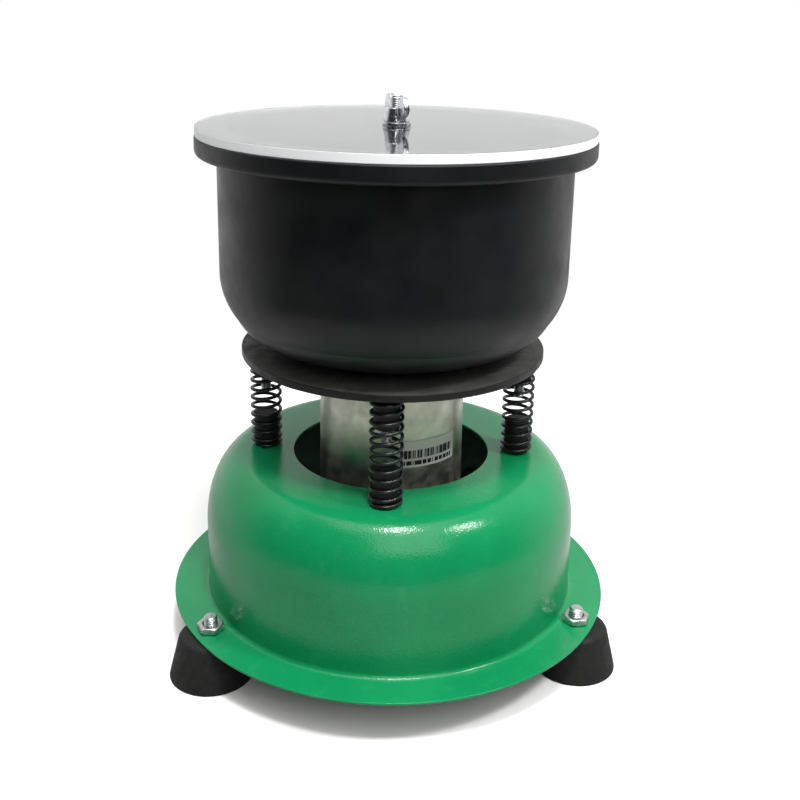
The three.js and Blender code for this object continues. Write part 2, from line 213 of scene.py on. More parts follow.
# %% [markdown]
# ## Floor, lamps and room
# The room is pale behind and at the sides, and dim on the camera's side, so that the black plastic
# stays black at the front and only its sides catch grey. A wide soft lamp overhead lights the flange
# and the floor, and a second one in front opens the shade. Two small lamps above the front give the
# two bright spots on the enamel's shoulder. The floor is looked at as white, but gives the machine
# the light of a grey one, so that no pale glow climbs its sides.

# %% Floor
FLOOR_HALF = 480
floor_mesh = bpy.data.meshes.new("floor")
corners = np.array([[-1, -1, 0], [1, -1, 0], [1, 1, 0], [-1, 1, 0]]) * FLOOR_HALF * MM
floor_mesh.from_pydata(corners.tolist(), [], [(0, 1, 2, 3)])
floor = bpy.data.objects.new("floor", floor_mesh)
bpy.context.scene.collection.objects.link(floor)
paper, tree, shader, place = finish("matt_white_paper", "F4F4F2", 0.9)
looked_at = add(tree, "LightPath").outputs["Is Camera Ray"]
tooth = mottle(tree, place, 1.5)
dress(tree, shader, tones=("B4B4B2", (looked_at, "FAFAF8")), relief=[(tooth, 0.02)])
floor_mesh.materials.append(paper)


# %% Lamps
LAMP_AIM_Z = 0.15  # metres, as the lamps' places are


def lamp(name, place, size, power):
    """A square lamp at a place in metres, facing the middle of the machine."""
    data = bpy.data.lights.new(name, "AREA")
    data.size = size
    data.energy = power
    thing = bpy.data.objects.new(name, data)
    bpy.context.scene.collection.objects.link(thing)
    towards = Vector(np.array([*axis * MM, LAMP_AIM_Z]) - np.array(place))
    thing.rotation_euler = towards.to_track_quat("-Z", "Y").to_euler()
    thing.location = place
    print("lamp", name, power, "W")


lamp("overhead", (0.0, -0.2, 1.7), 1.4, 17)
lamp("front_soft", (0.3, -1.1, 1.05), 1.0, 10.0)
lamp("spot_middle", (0.10, -0.50, 1.35), 0.2, 11.0)
lamp("spot_side", (0.80, -0.38, 1.15), 0.19, 10.0)

# %% Room
room = bpy.data.worlds.new("room")
room.use_nodes = True
bpy.context.scene.world = room
sky = room.node_tree
way = add(sky, "SeparateXYZ", {0: add(sky, "TexCoord").outputs["Generated"]})
back = {"Value": way.outputs["Y"], "From Min": -0.4, "From Max": 0.35, "To Min": 0.03, "To Max": 0.95}
glow = add(sky, "MapRange", back, interpolation_type="SMOOTHSTEP")
seen = add(sky, "LightPath").outputs["Is Camera Ray"]
strength = add(sky, "Math", {0: seen, 1: glow.outputs[0]}, operation="MAXIMUM")
backdrop = sky.nodes["Background"]
backdrop.inputs["Color"].default_value = (1, 1, 1, 1)
sky.links.new(strength.outputs[0], backdrop.inputs["Strength"])
bpy.context.scene.view_settings.view_transform = "Standard"
print("room light in front and behind:", back["To Min"], back["To Max"])

# %% [markdown]
# ## Surfaces from formulas
# Most of the machine was turned, spun or pressed, so a profile carried round an axis is its true
# shape. A grid of points is worked out at once, its faces join each point to the next both ways,
# and doubled points at the axis are merged, so each piece is one closed skin.


# %% Grids and turning
def faces_of(rows, columns, close_rows, close_columns):
    """Four corners for each square of a grid: this point, the next across, the next across and up,
    and the next up. A closed direction joins its last line of points to its first."""
    i = np.arange(rows if close_rows else rows - 1)[:, None]
    j = np.arange(columns if close_columns else columns - 1)[None, :]
    up, across = (i + 1) % rows, (j + 1) % columns
    corners = (i * columns + j, i * columns + across, up * columns + across, up * columns + j)
    return np.stack(np.broadcast_arrays(*corners), -1).reshape(-1, 4)


def turned(outline, steps):
    """A profile of points [r, z] turned about the Z axis: x = r cos a, y = r sin a, z = z."""
    outline = np.array(outline, float)
    a = np.linspace(0, TURN, steps, endpoint=False)
    r, z = outline[:, 0][:, None], outline[:, 1][:, None]
    points = np.stack([r * np.cos(a), r * np.sin(a), z + 0 * a], -1)
    closed = outline[:, 0].min() > 1e-6
    return points.reshape(-1, 3), faces_of(len(outline), steps, closed, True)


sample = turned([[1, 0], [2, 0], [2, 1], [1, 1]], 8)
print("a turned ring:", len(sample[0]), "points and", len(sample[1]), "faces")


# %% Outlines
def round_corners(outline, reach, steps=4):
    """Each corner c of a closed outline is swapped for the curve (1-t)(1-t)p + 2t(1-t)c + ttq, where
    p and q are the points at its reach before and after it. A reach of 0 keeps the corner. Where
    there is room, one more point just outside p and q keeps the flats beside a corner flat."""
    corner = np.array(outline, float)
    reach = np.broadcast_to(np.array(reach, float), len(corner))[:, None]
    t = np.linspace(0, 1, steps + 1)[None, :, None]
    ends, outer = [], []
    for step in (1, -1):
        side = np.roll(corner, step, 0) - corner
        length = np.linalg.norm(side, axis=1)[:, None]
        room = length > 1.5 * (reach + np.roll(reach, step, 0))
        ends.append(corner + side / length * reach)
        outer.append(corner + side / length * reach * np.where(room, 1.5, 1.0))
    p, q = ends
    curve = (1 - t) ** 2 * p[:, None] + 2 * t * (1 - t) * corner[:, None] + t**2 * q[:, None]
    curve = np.concatenate([outer[0][:, None], curve, outer[1][:, None]], 1).reshape(-1, 2)
    gap = np.linalg.norm(curve - np.roll(curve, 1, 0), axis=1)
    return curve[gap > 1e-6]


def arc(centre_r, centre_z, half_r, half_z, start, stop, steps):
    """Points on an ellipse: r = centre + half_r cos a, z = centre + half_z sin a, in degrees."""
    a = np.radians(np.linspace(start, stop, steps + 1))
    return np.stack([centre_r + half_r * np.cos(a), centre_z + half_z * np.sin(a)], -1)


def split_long(outline, longest):
    """The same closed outline, with long sides cut into equal parts no longer than longest."""
    parts = []
    for here, there in zip(outline, np.roll(outline, -1, 0)):
        count = max(1, math.ceil(np.linalg.norm(there - here) / longest))
        parts.append(here + (there - here) * np.arange(count)[:, None] / count)
    return np.concatenate(parts)


print("an arc in 6 steps:", len(arc(0, 0, 1, 1, 0, 90, 6)), "points")


# %% Joining and placing
def together(*shapes):
    """Several (points, faces) as one, with each face's numbers moved past the points before it."""
    counts = np.cumsum([0] + [len(points) for points, _ in shapes])
    points = np.concatenate([points for points, _ in shapes])
    return points, [np.add(face, n) for (_, faces), n in zip(shapes, counts) for face in faces]


def at(shape, centre, turn=0.0, up=0.0):
    """A shape turned by an angle in degrees about the Z axis, then carried to a centre in mm."""
    points, faces = shape
    c, s = math.cos(math.radians(turn)), math.sin(math.radians(turn))
    spun = points @ np.array([[c, s, 0], [-s, c, 0], [0, 0, 1]])
    return spun + np.array([centre[0], centre[1], up]), faces


print("two rings as one:", len(together(sample, sample)[0]), "points")

# %% [markdown]
# ## From a shape to a piece
# A piece is finished in one place: the skin is built in metres, doubled points are merged, faces are
# turned outwards, and edges sharper than 32 degrees are kept sharp while the rest is shaded smooth.
# The piece then hides the imported parts it stands for, and is put on the body it rides on.

# %% Piece helpers
MERGE = 2e-6
SHARP = 32
SHAKER = "shaking_unit"
ZINC_SLOT = "zinc_plated_fastener"
print("points closer than", MERGE, "m are merged")


def skin(name, shape):
    """A closed mesh object in metres from a shape in mm, its doubles merged and its faces outwards."""
    points, faces = shape
    mesh = bpy.data.meshes.new(name)
    mesh.from_pydata((points * MM).tolist(), [], [list(f) for f in faces])
    work = bmesh.new()
    work.from_mesh(mesh)
    bmesh.ops.remove_doubles(work, verts=work.verts, dist=MERGE)
    bmesh.ops.recalc_face_normals(work, faces=work.faces)
    work.to_mesh(mesh)
    work.free()
    thing = bpy.data.objects.new(name, mesh)
    bpy.context.scene.collection.objects.link(thing)
    return thing


def values(items, what, width, kind=float):
    """One property of all a mesh's points, corners or faces, as one array."""
    flat = np.empty(len(items) * width, kind)
    items.foreach_get(what, flat)
    return flat.reshape(-1, width) if width > 1 else flat


def piece(name, shape, material, slot, body, *stands_for, sharp=SHARP, modifiers=()):
    """Makes a mesh object from a shape in mm, gives it its finish and its body, and hides the imported
    parts it stands for.
    """
    thing = skin(name, shape)
    mesh = thing.data
    for kind, settings in modifiers:
        modifier = thing.modifiers.new(kind.lower(), kind)
        for key, value in settings.items():
            setattr(modifier, key, value)
    if modifiers:
        graph = bpy.context.evaluated_depsgraph_get()
        thing.data = bpy.data.meshes.new_from_object(thing.evaluated_get(graph))
        thing.modifiers.clear()
        mesh = thing.data
        mesh.name = name
    mesh.shade_smooth()
    mesh.set_sharp_from_angle(angle=math.radians(sharp))
    mesh.materials.clear()
    mesh.materials.append(material)
    if stands_for:
        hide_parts(*stands_for)
    if body:
        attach(thing, body)
    print(name, len(mesh.polygons), "faces")
    return thing


# %% [markdown]
# ## Gloss green enamel
# The base is pressed steel under sprayed gloss enamel. It dries with a faint orange peel about 1.1 mm
# across, which breaks a lamp's reflection into grains. One flat green would look like plastic, so the
# film's uneven thickness, pale rubbed marks and dust nibs are laid over it in turn.

# %% Green enamel
RUB, NIB = 0.08, 0.35
enamel, tree, shader, place = finish(
    "sprayed_green_enamel", "0FA05D", 0.17, IOR=1.5, Specular_IOR_Level=0.28
)
film = mottle(tree, place, 45)
rub = add(tree, "Clamp", {0: mottle(tree, place, 9, -3.2, 0.8, detail=6, seed=4)}).outputs[0]
rub = add(tree, "Math", {0: rub, 1: RUB}, operation="MULTIPLY").outputs[0]
nibs = add(tree, "TexVoronoi", {"Vector": place, "Scale": scale_of(7)}).outputs["Distance"]
speck = {"Value": nibs, "From Min": 0.03, "From Max": 0.05, "To Min": 1.0, "To Max": 0.0}
speck = add(tree, "MapRange", speck).outputs[0]
nib = add(tree, "Math", {0: speck, 1: NIB}, operation="MULTIPLY").outputs[0]
dress(
    tree,
    shader,
    tones=("11814F", (film, "0C7848"), (rub, "4F9A74"), (nib, "0A5A36")),
    gloss=mottle(tree, place, 25, 0.15, 0.21, seed=2),
    relief=((mottle(tree, place, 1.1, detail=1, seed=1), 0.04), (speck, 0.02)),
)

# %% [markdown]
# ## Painted shade inside the base
# The inside of the base is given a dull, very dark green: painted shade, so the gap round the motor
# reads as a deep green shadow. The gloss enamel would throw lamp spots back out of it.

# %% Painted shade inside the base
painted_shade_inside, tree, shader, place = finish("dark_green_painted_shade", "06361F", 0.5, IOR=1.5)
dress(
    tree,
    shader,
    tones=("042A18", (mottle(tree, place, 12, detail=5, seed=35), "0A3F26")),
    relief=[(mottle(tree, place, 0.8, seed=36), 0.03)],
)

# %% [markdown]
# ## The pressed base
# One sheet, 1.5 mm thick, is spun over a former: a flat flange, a tight fillet, an upright wall, an
# elliptical shoulder and a flat top with the motor's hole. A surface with a Solidify modifier would
# be near, but one closed outline turned about the axis holds every radius of both faces.

# %% Base section
SHEET = 1.5
HOLE_R = 60.1
SHOULDER_R = 89.8
SHOULDER_DROP = 42.0
WALL_R = 113.8
FLANGE_R = 135.0
FILLET = 3.0
CUT_EDGE = 0.5

flange_top = flange_low + SHEET
wall_top = base_top - SHOULDER_DROP
shoulder_run = WALL_R - SHOULDER_R
corner = (WALL_R + FILLET, flange_top + FILLET)
fillet = arc(*corner, FILLET, FILLET, 270, 180, 6)
inner_fillet = arc(*corner, FILLET + SHEET, FILLET + SHEET, 180, 270, 6)
shoulder = arc(SHOULDER_R, wall_top, shoulder_run, SHOULDER_DROP, 0, 90, 28)
inner_shoulder = arc(SHOULDER_R, wall_top, shoulder_run - SHEET, SHOULDER_DROP - SHEET, 90, 0, 28)
section = np.concatenate(
    [
        [[FLANGE_R, flange_low], [FLANGE_R, flange_top]],
        fillet,
        shoulder,
        [[HOLE_R, base_top], [HOLE_R, base_top - SHEET]],
        inner_shoulder,
        inner_fillet,
    ]
)
reach = np.zeros(len(section))
hole_edge = 2 + len(fillet) + len(shoulder)
reach[[0, 1, hole_edge, hole_edge + 1]] = CUT_EDGE
section = split_long(round_corners(section, reach), 4.0)
print("base section", len(section), "points")

# %% [markdown]
# ## Holes in the base
# The bolts, posts and cord pass through drilled holes. An exact boolean with a rod leaves the same
# round, sharp edge as a drill.


# %% Drilling
def drilled(shape, holes):
    """The shape with each hole's rod taken out of it, by exact booleans on the closed skins."""
    body = skin("blank", shape)
    cutter = skin("cutter", together(*holes))
    cut = body.modifiers.new("cut", "BOOLEAN")
    cut.object, cut.operation, cut.solver = cutter, "DIFFERENCE", "EXACT"
    graph = bpy.context.evaluated_depsgraph_get()
    result = bpy.data.meshes.new_from_object(body.evaluated_get(graph))
    starts = values(result.polygons, "loop_start", 1, int)
    faces = np.split(values(result.loops, "vertex_index", 1, int), starts[1:])
    points = values(result.vertices, "co", 3) / MM
    for thing in (body, cutter):
        bpy.data.objects.remove(thing)
    return points, faces


def ring_place(radius, turn):
    """A point at a radius and an angle in degrees about the machine's axis, in mm."""
    a = math.radians(turn)
    return axis + radius * np.array([math.cos(a), math.sin(a)])


def rod(radius, low, high, steps=32):
    """A plain rod from low to high."""
    return turned([[0, low], [radius, low], [radius, high], [0, high]], steps)


def outward(shape, turn, up):
    """A shape made about the Z axis, laid down to point away from the machine's axis."""
    points, faces = shape
    flat = np.stack([points[:, 2], points[:, 1], -points[:, 0]], -1)
    return at((flat, faces), axis, turn, up)


# %% Holes
FOOT_R = 124.4
SPRING_R = 77.5
FOOT_TURNS = {"back": 96, "left": 216, "right": 336}
SPRING_TURNS = {"right": 0, "back": 90, "left": 180, "front": 270}
OUTLET_TURN = 60
OUTLET_Z = flange_low + 21.5
BOLT_HOLE_R = 4.3
SCREW_HOLE_R = 2.8
OUTLET_HOLE_R = 6.0

base_holes = [at(rod(BOLT_HOLE_R, 10, 40), ring_place(FOOT_R, t)) for t in FOOT_TURNS.values()]
base_holes += [at(rod(SCREW_HOLE_R, 90, 130), ring_place(SPRING_R, t)) for t in SPRING_TURNS.values()]
base_holes += [outward(rod(OUTLET_HOLE_R, 100, 130), OUTLET_TURN, OUTLET_Z)]
blank = at(turned(section, 192), axis)
print("holes to drill:", len(base_holes))

# %% [markdown]
# ## Moulded polyurethane
# The bowl is cast polyurethane with a satin skin. It is nearly black face on and greys where it turns
# away, with faint cloudy handling marks. A flat black would hide the form, so the roughness drifts
# over 22 mm and the skin is gently uneven.

# %% Bowl plastic
satin, tree, shader, place = finish(
    "moulded_black_polyurethane", "0E0F10", 0.42, IOR=1.5, Specular_IOR_Level=0.28
)
dress(
    tree,
    shader,
    tones=("08090B", (mottle(tree, place, 30, detail=5, seed=3), "0E1013")),
    gloss=mottle(tree, place, 22, 0.36, 0.5, detail=5, seed=5),
    relief=(
        (mottle(tree, place, 14, detail=1, seed=7), 0.05),
        (mottle(tree, place, 0.9, detail=2, seed=6), 0.008),
    ),
)

# %% [markdown]
# ## Black rubber
# The feet and the cord's grommet are matt moulded rubber, which gives the eye a soft dark grey with no
# sharp reflections. The posts are a blacker, slightly smoother rubber. Both carry a fine grain of
# 0.6 to 0.7 mm, coarser than the real one so that it shows.

# %% Rubbers
rubber, tree, shader, place = finish(
    "moulded_black_rubber", "1E1E1E", 0.7, IOR=1.52, Specular_IOR_Level=0.3
)
dress(
    tree,
    shader,
    tones=("0C0C0C", (mottle(tree, place, 6, detail=6, seed=8), "131312")),
    gloss=mottle(tree, place, 4, 0.6, 0.8, seed=9),
    relief=[(mottle(tree, place, 0.7, seed=10), 0.03)],
)

post_rubber, tree, shader, place = finish(
    "black_post_rubber", "121212", 0.62, IOR=1.52, Specular_IOR_Level=0.35
)
dress(
    tree,
    shader,
    tones=("090909", (mottle(tree, place, 3, detail=5), "131312")),
    relief=[(mottle(tree, place, 0.6, seed=11), 0.03)],
)

# %% [markdown]
# ## Zinc on fasteners
# Nuts, bolts and studs are plated with zinc: a bluish grey metal, slightly dulled and unevenly bright.
# The lid's stud, washer and wing nut are polished by use and mirror the room more sharply. Both are
# full metals, so their grey comes from the room they reflect.

# %% Zinc finishes
zinc, tree, shader, place = finish("bright_zinc_plate", "BDBFBF", 0.36, 1.0)
dress(
    tree,
    shader,
    tones=("A9AAA8", (mottle(tree, place, 2.5, detail=5, seed=12), "C9CBCC")),
    gloss=mottle(tree, place, 1.4, 0.3, 0.44, detail=4, seed=13),
    relief=[(mottle(tree, place, 0.6, detail=1, seed=14), 0.0015)],
)

bright, tree, shader, place = finish("bright_zinc_casting", "D6D8DA", 0.17, 1.0)
dress(
    tree,
    shader,
    tones=("C4C6C8", (mottle(tree, place, 3, detail=5, seed=42), "E2E4E6")),
    gloss=mottle(tree, place, 2, 0.12, 0.24, detail=4, seed=43),
    relief=[(mottle(tree, place, 1.2, detail=1, seed=44), 0.01)],
)

# %% [markdown]
# ## Weathered zinc tube
# The motor's tube is drawn steel with a zinc coat that has gone cloudy, and straw coloured in patches.
# Drawing lines run up it, so their noise is squeezed to a twenty-fifth of its rate along the height.

# %% Motor tube zinc
tube_zinc, tree, shader, place = finish("weathered_zinc_tube", "C4C2B8", 0.42, 1.0)
bloom = mottle(tree, place, 16, detail=7, seed=15)
stain = mottle(tree, place, 7, -0.3, 0.8, detail=8, seed=16)
stain = add(tree, "Clamp", {0: stain}).outputs[0]
drawn = add(tree, "Mapping", {"Vector": place, "Scale": (1.0, 1.0, 0.04)}).outputs[0]
lines = mottle(tree, drawn, 0.8, seed=17)
dress(
    tree,
    shader,
    tones=("BFC1B4", (bloom, "D2D4C8"), (stain, "BBB8A6")),
    gloss=mottle(tree, place, 9, 0.34, 0.52, detail=6, seed=18),
    relief=((lines, 0.015), (mottle(tree, place, 1.2, seed=19), 0.01)),
)

# %% [markdown]
# ## Blacked spring steel
# Springs are dipped to a black oxide and oiled. The wire stays dark but keeps a narrow bright line
# along it, so it is part metal and fairly smooth, and worn a little lighter in places.

# %% Spring steel
spring_black, tree, shader, place = finish("blacked_spring_steel", "16181C", 0.3, 0.25)
dress(
    tree,
    shader,
    tones=("0E0F12", (mottle(tree, place, 3, detail=4, seed=20), "1A1C20")),
    gloss=mottle(tree, place, 2, 0.24, 0.42, seed=21),
    relief=[(mottle(tree, place, 0.4, seed=22), 0.01)],
)

# %% [markdown]
# ## Painted plate, with painted light on its top
# The plate is rolled steel under satin black paint, whose mill scale shows as shallow pits about 1.6 mm
# wide. Its flat top, shaded by the bowl, is given a paler, duller black than the edge has: painted
# light.

# %% Plate paint and the painted light on its top
plate_paint, tree, shader, place = finish(
    "black_paint_on_rolled_steel", "141414", 0.42, IOR=1.5, Specular_IOR_Level=0.3
)
dress(
    tree,
    shader,
    tones=("0C0C0C", (mottle(tree, place, 20, detail=6, seed=23), "151514")),
    gloss=mottle(tree, place, 8, 0.34, 0.55, detail=5, seed=24),
    relief=[(mottle(tree, place, 1.6, detail=5, seed=25), 0.05)],
)

painted_light_top, tree, shader, place = finish("black_paint_painted_light_top", "454543", 0.6, IOR=1.5)
dress(
    tree,
    shader,
    tones=("323231", (mottle(tree, place, 9, detail=7, seed=39), "454542")),
    gloss=mottle(tree, place, 6, 0.5, 0.75, seed=40),
    relief=[(mottle(tree, place, 1.6, detail=5, seed=41), 0.06)],
)

# %% [markdown]
# ## Inside the motor
# These parts are seen only from below or through the hole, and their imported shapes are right. Cast
# aluminium is a rough pale grey, ground bearings are smooth and bright, stacked iron sheets show fine
# level lines, and wound copper wire has a warm, ribbed sheen.

# %% Motor metals
cast, tree, shader, place = finish("cast_aluminium", "9A9C9C", 0.5, 1.0)
grain = mottle(tree, place, 1.1, seed=27)
dress(tree, shader, gloss=mottle(tree, place, 3, 0.42, 0.62, seed=26), relief=[(grain, 0.05)])

ground, tree, shader, place = finish("ground_bearing_steel", "BFC1C2", 0.22, 1.0)
dress(tree, shader, gloss=mottle(tree, place, 1.5, 0.16, 0.3, seed=28))

iron, tree, shader, place = finish("laminated_core_iron", "45464A", 0.5, 1.0)
sheets = add(tree, "Mapping", {"Vector": place, "Scale": (0.02, 0.02, 1.0)}).outputs[0]
sheets = mottle(tree, sheets, 0.5, seed=30)
dress(tree, shader, gloss=mottle(tree, place, 5, 0.4, 0.6, seed=29), relief=[(sheets, 0.05)])

copper, tree, shader, place = finish("enamelled_copper_wire", "B4652F", 0.3, 1.0)
wires = add(tree, "Mapping", {"Vector": place, "Scale": (1.0, 1.0, 3.0)}).outputs[0]
wires = mottle(tree, wires, 0.8, seed=32)
patch = mottle(tree, place, 4, seed=31)
dress(tree, shader, tones=("A85A28", (patch, "C27A3C")), relief=[(wires, 0.15)])

# %% [markdown]
# ## Clear acrylic and its sawn edge
# The lid is a cast acrylic disc with an IOR of 1.49. From low down it mirrors the pale room, and from
# above it shows the bowl, with a very fine haze from rubbing. Its sawn edge is frosted, so it scatters
# light and reads as a white line, and has its own finish.

# %% Acrylic finishes
acrylic, tree, shader, place = finish(
    "cast_clear_acrylic", "F1F5F5", 0.03, IOR=1.49, Transmission_Weight=1.0
)
haze = mottle(tree, place, 18, 0.015, 0.06, detail=5, seed=33)
dress(tree, shader, gloss=haze, relief=[(mottle(tree, place, 6, detail=2, seed=34), 0.001)])

sawn, tree, shader, place = finish(
    "sawn_acrylic_edge", "EAECED", 0.5, IOR=1.49, Transmission_Weight=0.05
)
saw = add(tree, "Mapping", {"Vector": place, "Scale": (1.0, 1.0, 0.1)}).outputs[0]
frost = mottle(tree, saw, 0.7, 0.35, 0.55, detail=4, seed=37)
dress(tree, shader, gloss=frost, relief=[(mottle(tree, saw, 0.7, detail=4, seed=38), 0.02)])

# %% [markdown]
# ## Printed label
# The tag on the motor is white paper with a strip of dark bars and a row of short ticks, all blank of
# words. Its print follows the tag's own UV map, as ink follows paper round a tube: each bar is a cell
# whose number gives a random shade, and a limit makes it ink or paper.

# %% Label paper
paper_label, tree, shader, _ = finish("printed_label_paper", "D5D6D2", 0.5, IOR=1.45)
across = add(tree, "SeparateXYZ", {0: add(tree, "UVMap", uv_map="print").outputs[0]})


def within(value, low, high):
    """One where the value lies between low and high, else nothing."""
    above = add(tree, "Math", {0: value, 1: low}, operation="GREATER_THAN").outputs[0]
    below = add(tree, "Math", {0: value, 1: high}, operation="LESS_THAN").outputs[0]
    return add(tree, "Math", {0: above, 1: below}, operation="MULTIPLY").outputs[0]


def printed_row(low, high, count, seed, limit):
    """A row of ink between two heights on the tag: each of its equal cells draws a random number,
    and is inked where the number is over the limit."""
    cell = {0: across.outputs["X"], 1: count, 2: seed}
    cell = add(tree, "Math", cell, operation="MULTIPLY_ADD").outputs[0]
    cell = add(tree, "Math", {0: cell}, operation="FLOOR").outputs[0]
    drawn = add(tree, "TexWhiteNoise", {"W": cell}, noise_dimensions="1D").outputs[0]
    inputs = {0: within(across.outputs["Y"], low, high), 1: within(drawn, limit, 2)}
    return add(tree, "Math", inputs, operation="MULTIPLY").outputs[0]


bars = printed_row(0.34, 0.65, 104, 3, 0.3)
ticks = printed_row(0.09, 0.25, 58, 9, 0.22)
ink = add(tree, "Math", {0: bars, 1: ticks}, operation="MAXIMUM").outputs[0]
margin = within(across.outputs["X"], 0.03, 0.94)
ink = add(tree, "Math", {0: ink, 1: margin}, operation="MULTIPLY").outputs[0]
dress(tree, shader, tones=("BFC0BA", (ink, "101010")))
print("materials", len(bpy.data.materials))

# %% [markdown]
# ## Two finishes on one piece
# The base is green outside with a painted shade of dark green inside, the plate's top has painted light
# that makes it paler than its edge, and the lid is frosted at its edge. Each stays one piece, as it is
# one on the machine, and a rule on where a face lies and which way it looks gives it the second finish.


# %% Second finishes
def recoat(thing, material, chosen):
    """Gives a second material to the faces for which chosen(radius, out, up) is true, where out and
    up are the parts of a face's normal away from the machine's axis and along it."""
    mesh = thing.data
    centre = values(mesh.polygons, "center", 3) / MM
    normal = values(mesh.polygons, "normal", 3)
    flat = centre[:, :2] - axis
    radius = np.linalg.norm(flat, axis=1)
    out = (flat * normal[:, :2]).sum(1) / np.maximum(radius, 1e-6)
    mask = chosen(radius, out, normal[:, 2])
    mesh.materials.append(material)
    mesh.polygons.foreach_set("material_index", mask.astype(np.int32))
    print(thing.name, mask.sum(), "faces in", material.name)


def inside_base(radius, out, up):
    """The base's faces that look inwards or down, away from its cut edges."""
    return (out + up < -0.3) & (radius > HOLE_R + 0.6) & (radius < FLANGE_R - 0.6)


# %% Base
base = piece("pressed_base", drilled(blank, base_holes), enamel, "green_enamel", "base", "base_shell")
# The faces inside the base take the dark green: painted shade.
recoat(base, painted_shade_inside, inside_base)

# %% [markdown]
# ## Feet
# Each foot is a moulded rubber cone with a rounded shoulder and a small edge at the floor. A bolt
# comes up through it from a recess underneath, so it is a closed ring with a bore. A turned outline
# lets each corner have its own rounding.

# %% Feet
foot_top = height("foot_left")[1]
FOOT_BOTTOM_R, FOOT_TOP_R = 24.8, 18.2
RECESS_R, RECESS_TOP = 12.2, 9.0
foot_section = [[BOLT_HOLE_R, RECESS_TOP], [RECESS_R, RECESS_TOP], [RECESS_R, 0.0]]
foot_section += [[FOOT_BOTTOM_R, 0.0], [FOOT_TOP_R, foot_top], [BOLT_HOLE_R, foot_top]]
foot_section = split_long(round_corners(foot_section, [0, 0.6, 1.0, 1.2, 3.4, 0], 8), 3.0)
for side, turn in FOOT_TURNS.items():
    shape = at(turned(foot_section, 96), ring_place(FOOT_R, turn))
    piece("rubber_foot_" + side, shape, rubber, "black_rubber", "base", "foot_" + side)

# %% [markdown]
# ## Nuts, washers and threads
# A hexagon nut is a six-sided bar turned to a cone at each face, which leaves the curved chamfer lines
# on its flats. At an angle a the flat lies at half the width over cos(a), and the chamfer drops by
# 0.58 of what lies outside the face's circle. A thread is a rod whose radius follows a helix: it rises
# and falls once for each pitch of height, and one whole turn moves it one pitch. A bump could draw
# both, but the thread's edge is seen against the light, so the grooves are real.


# %% Nut and thread
COUNTERSINK = 0.9
CHAMFER_SLOPE = 0.577


def nut(across, bore, low, high, turn=0.0, steps=96):
    """A hexagon nut: radius = (across / 2) / cos(angle from the flat's middle), with cone chamfers."""
    a = np.linspace(0, TURN, steps, endpoint=False)
    from_flat = (a + TURN / 12) % (TURN / 6) - TURN / 12
    side = across / 2 / np.cos(from_flat)
    circle = across / 2 * 0.95
    drop = CHAMFER_SLOPE * np.maximum(side - circle, 0)
    even = np.ones(steps)
    mouth = bore + COUNTERSINK
    radii = [bore, bore, mouth, circle, side, side, circle, mouth]
    levels = [low + COUNTERSINK, high - COUNTERSINK, high, high, high - drop, low + drop, low, low]
    r = np.stack([even * radius for radius in radii])
    z = np.stack([even * level for level in levels])
    b = a + math.radians(turn) + TURN / 12
    points = np.stack([r * np.cos(b), r * np.sin(b), z], -1)
    return points.reshape(-1, 3), faces_of(len(radii), steps, True, True)


def thread(radius, pitch, low, high, start=0.0, around=32, along=8):
    """A threaded rod: its radius falls by 0.6 of the pitch in each groove, and its ends are coned.
    The groove's place at height z and angle a is the fraction left of z / pitch - a / turn."""
    rows = max(2, round((high - low) / pitch * along)) + 1
    z = np.linspace(low, high, rows)[:, None]
    a = np.linspace(0, TURN, around, endpoint=False)[None, :]
    wave = np.abs(((z / pitch - a / TURN + start) % 1.0) - 0.5) * 2
    r = radius - 0.6 * pitch * np.clip(1.3 * (1 - wave) - 0.15, 0, 1)
    r = np.minimum(r, radius - 0.75 * pitch + np.minimum(z - low, high - z))
    points = np.stack([r * np.cos(a), r * np.sin(a), z + 0 * a], -1)
    cap = np.zeros((1, around, 3))
    points = np.concatenate([cap + [0, 0, low], points, cap + [0, 0, high]])
    return points.reshape(-1, 3), faces_of(rows + 2, around, False, True)


def ring_section(inner, outer, low, high):
    """The square outline of a flat or upright ring, for turning about the axis."""
    return [[inner, low], [outer, low], [outer, high], [inner, high]]


def washer(inner, outer, low, high, edge=0.25, steps=64):
    """A flat ring with softened edges."""
    return turned(round_corners(ring_section(inner, outer, low, high), edge), steps)


print("a nut has", len(nut(14, 4.1, 0, 8)[1]), "faces")

# %% [markdown]
# ## Foot bolts and nuts
# An M8 bolt comes up through each foot and the flange, and a nut 14 mm across its flats holds it. The
# three nuts ended their turn at different angles, as nuts do. The head is a nut with a small bore,
# closed by the thread that starts inside it.

# %% Foot bolts and nuts
M8_R, M8_PITCH = 4, 1.25
NUT_BORE_R = 4.1
FOOT_NUT = 14
HEAD_TOP = 8.7
nut_low, nut_high = height("foot_nut_left")
bolt_low, bolt_high = height("foot_bolt_left")
for (side, turn), nut_turn in zip(FOOT_TURNS.items(), (12, 0, 10)):
    centre = ring_place(FOOT_R, turn)
    shape = at(nut(FOOT_NUT, NUT_BORE_R, nut_low, nut_high, nut_turn), centre)
    piece("hex_nut_" + side, shape, zinc, ZINC_SLOT, "base", "foot_nut_" + side, sharp=20)
    head = nut(FOOT_NUT, M8_R / 2, bolt_low, HEAD_TOP, nut_turn + 20)
    shank = thread(M8_R, M8_PITCH, HEAD_TOP - 1.2, bolt_high, turn / 360, along=12)
    shape = at(together(head, shank), centre)
    piece("hex_bolt_" + side, shape, zinc, ZINC_SLOT, "base", "foot_bolt_" + side, sharp=28)
